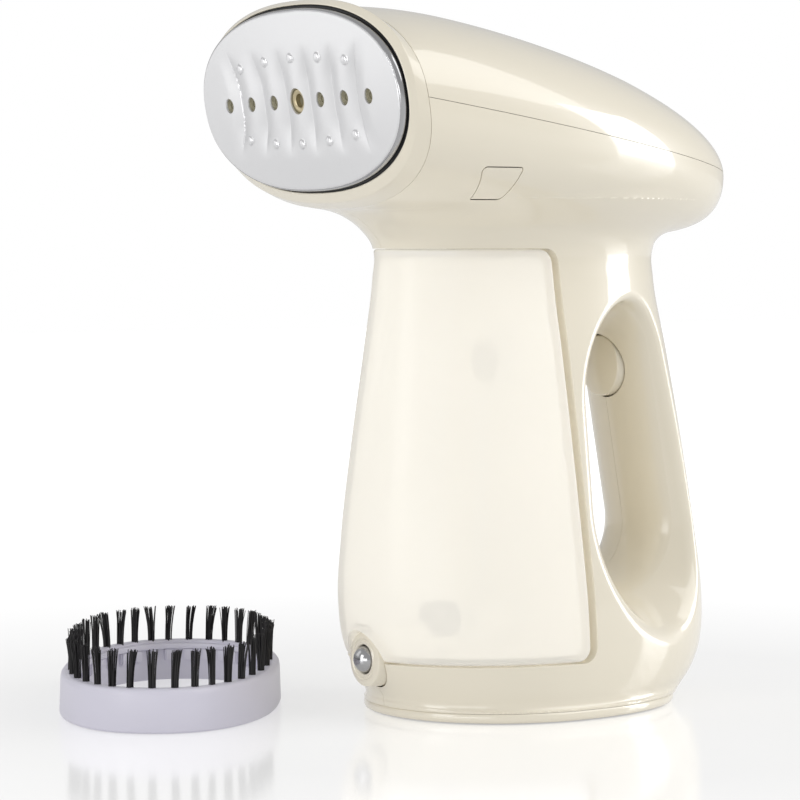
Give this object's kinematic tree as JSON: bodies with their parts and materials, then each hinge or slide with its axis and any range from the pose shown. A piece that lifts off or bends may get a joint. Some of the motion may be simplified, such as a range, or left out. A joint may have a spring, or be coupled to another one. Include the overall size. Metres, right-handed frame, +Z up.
{
  "type": "garment steamer",
  "caption": "Handheld garment steamer with an oval steam plate on a bullet-shaped head, a removable frosted water tank, a looped rear grip and a clip-on bristle brush.",
  "frame": {"origin": "on the surface the steamer stands on, under the middle of its foot", "axes": "+Z up, the steam plate faces -Y, the grip and the cord inlet are towards +Y, +X is the left side of the steamer in the hand"},
  "size_m": [0.1803, 0.2266, 0.2294],
  "materials": {
    "cream_plastic": "smooth gloss",
    "tank_plastic": "frosted translucent",
    "plate_metal": "satin face, polished rim",
    "chrome": "polished",
    "black_rubber": "matt",
    "brass": "satin",
    "cast_aluminium": "as cast",
    "silicone": "matt",
    "steel": "plain",
    "element_sheath": "heat darkened",
    "mica": "matt",
    "black_plastic": "matt",
    "white_plastic": "matt",
    "copper": "varnished winding",
    "board": "lacquered",
    "wire": "matt",
    "lavender_plastic": "satin",
    "bristle": "matt"
  },
  "bodies": {
    "steamer": {"left_housing": "cream_plastic", "right_housing": "cream_plastic", "top_cover": "cream_plastic", "front_bezel": "cream_plastic", "steam_plate": "plate_metal", "plate_gasket": "black_rubber", "centre_nozzle": "brass", "heat_shield": "mica", "boiler_body": "cast_aluminium", "boiler_seal": "silicone", "boiler_lid": "cast_aluminium", "boiler_screws": "steel", "heating_element": "element_sheath", "thermostat": "black_plastic", "thermal_fuse": "white_plastic", "control_board": "board", "board_components": "black_plastic", "board_screws": "steel", "pressure_hose": "silicone", "suction_hose": "silicone", "hose_clips": "steel", "pump_body": "white_plastic", "pump_coil": "copper", "pump_mounts": "black_rubber", "inlet_socket": "white_plastic", "inlet_seal": "black_rubber", "terminal_block": "white_plastic", "internal_wires": "wire", "cord_gland": "cream_plastic", "trigger_spring": "steel", "trigger_switch": "black_plastic", "base_foot": "cream_plastic", "foot_pad": "black_rubber", "base_screws": "steel", "housing_screws": "steel", "left_screw_cover": "cream_plastic", "right_screw_cover": "cream_plastic"},
    "trigger": {"trigger_button": "cream_plastic"},
    "tank": {"tank_shell": "tank_plastic", "tank_valve": "white_plastic", "valve_spring": "steel", "pickup_tube": "white_plastic", "intake_filter": "black_plastic", "fill_plug": "silicone", "release_pad": "cream_plastic", "release_spring": "steel"},
    "release": {"release_button": "chrome", "latch_hook": "steel"},
    "brush": {"brush_frame": "lavender_plastic", "brush_lugs": "lavender_plastic", "bristle_tufts": "bristle"}
  },
  "joints": [
    {"name": "trigger_press", "type": "slide", "parent": "steamer", "child": "trigger", "axis": [0, 1, 0], "range_m": [0, 0.004], "stiffness_N_per_m": 500, "springref_m": -0.003, "deforming": ["trigger_spring"]},
    {"name": "tank_slide", "type": "slide", "parent": "steamer", "child": "tank", "axis": [0, -1, 0], "range_m": [0, 0.03]},
    {"name": "release_press", "type": "slide", "parent": "tank", "child": "release", "axis": [0, 1, 0], "range_m": [0, 0.0025], "stiffness_N_per_m": 500, "springref_m": -0.002, "deforming": ["release_spring"]},
    {"name": "brush_lift", "type": "slide", "parent": "steamer", "child": "brush", "axis": [0, 0, 1], "range_m": [0, 0.08]}
  ]
}
